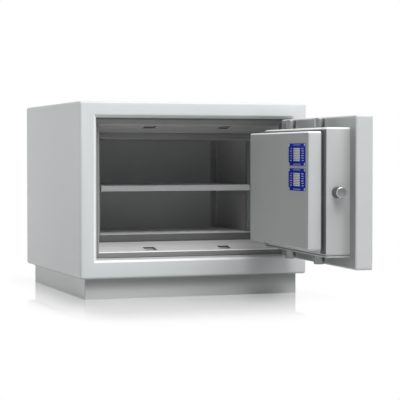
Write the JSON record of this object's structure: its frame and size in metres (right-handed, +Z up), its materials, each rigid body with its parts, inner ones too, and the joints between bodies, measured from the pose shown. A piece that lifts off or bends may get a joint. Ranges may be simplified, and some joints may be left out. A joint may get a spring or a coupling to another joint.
{
  "type": "document safe cabinet",
  "caption": "Fire-resistant document safe cabinet on a plinth, with a stepped hinged door, round bolts thrown by a lever handle, and a shelf in the inner container.",
  "frame": {"origin": "on the floor under the middle of the cabinet's body, in the plane of the plinth's foot", "axes": "+Z up; the door opening faces -Y; the door's hinge is on the +X side"},
  "size_m": [0.65, 1.2163, 0.53],
  "materials": {
    "casing_paint": "fine-textured powder coat, pale grey",
    "plinth_paint": "fine-textured powder coat, grey",
    "lining_paint": "powder coat, grey",
    "container_paint": "powder coat, mid grey",
    "shelf_paint": "powder coat, light grey",
    "door_paint": "powder coat, pale grey",
    "cover_paint": "powder coat, grey",
    "insulation": "cast mineral board, matt",
    "groove_dark": "dark fibre board",
    "seal_grey": "swelling seal strip, matt",
    "bolt_steel": "turned steel",
    "latch_chrome": "polished",
    "zinc_steel": "bright zinc plated",
    "hinge_steel": "powder coat, pale grey",
    "handle_chrome": "satin",
    "bush_brass": "machined",
    "plate_blue": "printed sheet, deep blue",
    "plate_pale": "bare sheet"
  },
  "bodies": {
    "cabinet": {"outer_casing": "casing_paint", "rear_panel": "casing_paint", "plinth": "plinth_paint", "plinth_screws": "zinc_steel", "bolt_pockets": "zinc_steel", "latch_pocket": "zinc_steel", "rebate_lining": "lining_paint", "inner_container": "container_paint", "insulation_top": "insulation", "insulation_bottom": "insulation", "insulation_left": "insulation", "insulation_right": "insulation", "insulation_rear": "insulation", "shelf_rails": "zinc_steel", "shelf_clips": "zinc_steel", "shelf": "shelf_paint", "hinge_frame_plates": "hinge_steel", "hinge_pins": "zinc_steel", "hinge_washers": "bush_brass"},
    "door": {"door_leaf": "door_paint", "leaf_insulation": "insulation", "boltwork_plate": "zinc_steel", "plate_screws": "zinc_steel", "boltwork_housing": "door_paint", "groove_board": "groove_dark", "groove_seal": "seal_grey", "inner_cover": "cover_paint", "cover_insulation": "insulation", "test_plates": "plate_blue", "plate_fields": "plate_pale", "plate_rivets": "plate_pale", "hinge_leaf_straps": "hinge_steel", "hinge_screws": "zinc_steel", "bolt_bushes": "zinc_steel", "latch_bush": "zinc_steel", "spindle_bush": "bush_brass", "key_tube": "zinc_steel", "lock_case": "zinc_steel", "lock_screws": "zinc_steel", "keyhole_plate": "handle_chrome", "cover_pivot": "handle_chrome", "handle_rose": "handle_chrome"},
    "handle_drive": {"handle": "handle_chrome", "handle_spindle": "bolt_steel", "drive_disc": "zinc_steel", "drive_pins": "bolt_steel"},
    "top_boltwork": {"top_bolt_carrier": "zinc_steel", "top_bolts": "bolt_steel", "top_bolt_screws": "zinc_steel"},
    "bottom_boltwork": {"bottom_bolt_carrier": "zinc_steel", "bottom_bolts": "bolt_steel", "bottom_bolt_screws": "zinc_steel"},
    "latch_boltwork": {"latch_bolt_carrier": "zinc_steel", "latch_bolt": "latch_chrome", "latch_bolt_screw": "zinc_steel"},
    "keyhole_cover": {"key_cover": "handle_chrome"},
    "lock_drive": {"lock_bolt": "bolt_steel"}
  },
  "joints": [
    {"name": "door_hinge", "type": "hinge", "parent": "cabinet", "child": "door", "pos_m": [0.2935, -0.3295, 0.296], "axis": [0, 0, 1], "range_deg": [-86.6, 93.4]},
    {"name": "handle_turn", "type": "hinge", "parent": "door", "child": "handle_drive", "pos_m": [0.26009, -0.73173, 0.296], "axis": [-0.9982, 0.0593, 0], "range_deg": [0, 60]},
    {"name": "top_bolts_slide", "type": "slide", "parent": "door", "child": "top_boltwork", "axis": [0, 0, -1], "range_m": [0, 0.024]},
    {"name": "bottom_bolts_slide", "type": "slide", "parent": "door", "child": "bottom_boltwork", "axis": [0, 0, 1], "range_m": [0, 0.024]},
    {"name": "latch_bolt_slide", "type": "slide", "parent": "door", "child": "latch_boltwork", "axis": [0.0593, 0.9982, 0], "range_m": [0, 0.024]},
    {"name": "key_cover_swing", "type": "hinge", "parent": "door", "child": "keyhole_cover", "pos_m": [0.26471, -0.65386, 0.337], "axis": [-0.9982, 0.0593, 0], "range_deg": [-120, 120]},
    {"name": "lock_bolt_slide", "type": "slide", "parent": "door", "child": "lock_drive", "axis": [-0.0593, -0.9982, 0], "range_m": [0, 0.012]}
  ],
  "couplings": [
    {"joint": "top_bolts_slide", "follows": "handle_turn", "m_per_rad": 0.022918},
    {"joint": "bottom_bolts_slide", "follows": "handle_turn", "m_per_rad": 0.022918},
    {"joint": "latch_bolt_slide", "follows": "handle_turn", "m_per_rad": 0.022918}
  ]
}
